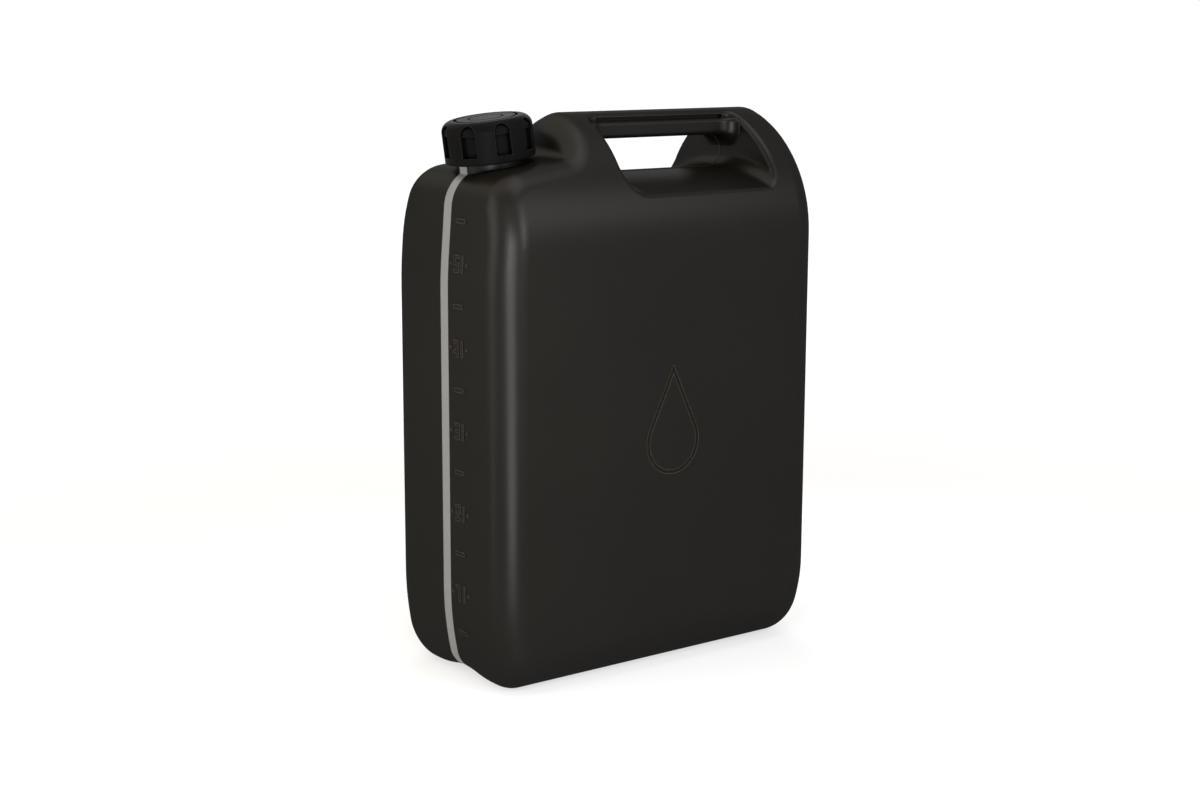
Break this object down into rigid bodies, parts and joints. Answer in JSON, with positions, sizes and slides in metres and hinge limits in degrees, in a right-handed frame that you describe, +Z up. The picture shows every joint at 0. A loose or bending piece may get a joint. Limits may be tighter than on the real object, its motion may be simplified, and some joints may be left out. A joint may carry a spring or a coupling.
{
  "type": "water carrier",
  "caption": "Upright blow-moulded water can with a built-in carrying handle, a clear level strip beside litre marks and a screw cap with grip pockets.",
  "frame": {"origin": "on the floor under the middle of the can", "axes": "+Z up, +X along the can away from the neck, -Y out of the broad front"},
  "size_m": [0.2185, 0.109, 0.3061],
  "materials": {
    "can_plastic": "satin black, finely grained",
    "strip_plastic": "satin, translucent natural white",
    "cap_plastic": "satin black",
    "seal_rubber": "matt, off-white"
  },
  "bodies": {
    "can": {"can_body": "can_plastic", "sight_strip": "strip_plastic"},
    "seal": {"cap_seal": "seal_rubber"},
    "cap": {"screw_cap": "cap_plastic"}
  },
  "joints": [
    {"name": "cap_lift", "type": "slide", "parent": "can", "child": "seal", "axis": [-0.1392, 0, 0.9903], "range_m": [0, 0.0125]},
    {"name": "cap_turn", "type": "hinge", "parent": "seal", "child": "cap", "pos_m": [-0.0785, 0, 0.2784], "axis": [-0.1392, 0, 0.9903], "range_deg": [0, 900]}
  ],
  "couplings": [
    {"joint": "cap_lift", "follows": "cap_turn", "m_per_rad": 0.00079577}
  ]
}
